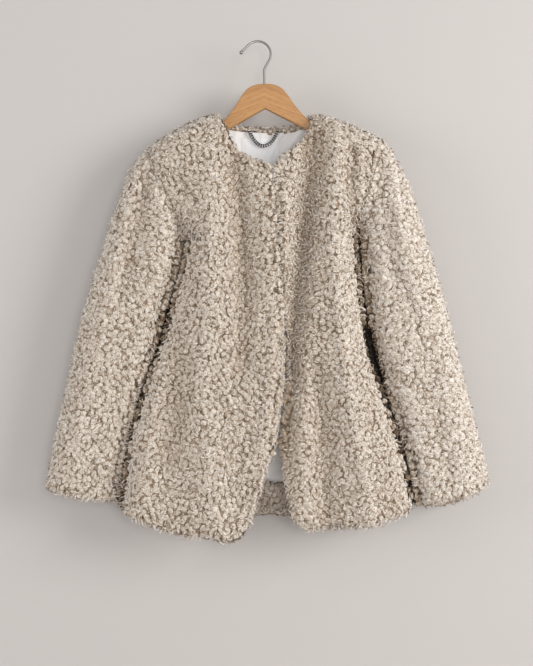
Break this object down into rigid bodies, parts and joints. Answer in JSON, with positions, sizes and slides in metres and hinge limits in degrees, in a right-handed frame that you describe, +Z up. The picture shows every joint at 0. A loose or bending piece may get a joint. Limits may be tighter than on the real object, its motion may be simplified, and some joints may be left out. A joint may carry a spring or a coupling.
{
  "type": "faux fur coat on a wooden hanger",
  "caption": "Collarless open-front coat of curly faux fur with long sleeves, hanging on a wooden hanger by its wire hook.",
  "frame": {"origin": "the inner top of the hanger's wire hook, where a nail or rail carries it, in the plane of the hanger", "axes": "+X to the right of someone who looks at the coat's front (the wearer's left), +Y to the coat's back, +Z up"},
  "size_m": [0.7545, 0.1355, 0.844],
  "materials": {
    "fur": "matte curly pile, beige with lighter tips",
    "lining": "white satin, soft sheen",
    "beech": "satin lacquer over straight grain",
    "hook_steel": "polished",
    "chain_steel": "dark nickel, polished on the high spots"
  },
  "bodies": {
    "root": {"back": "fur", "front_right": "fur", "front_left": "fur", "sleeve_right": "fur", "sleeve_left": "fur", "lining_back": "lining", "hem_facing_back": "fur", "hang_chain": "chain_steel", "hanger_wood": "beech", "hanger_hook": "hook_steel"}
  },
  "joints": []
}
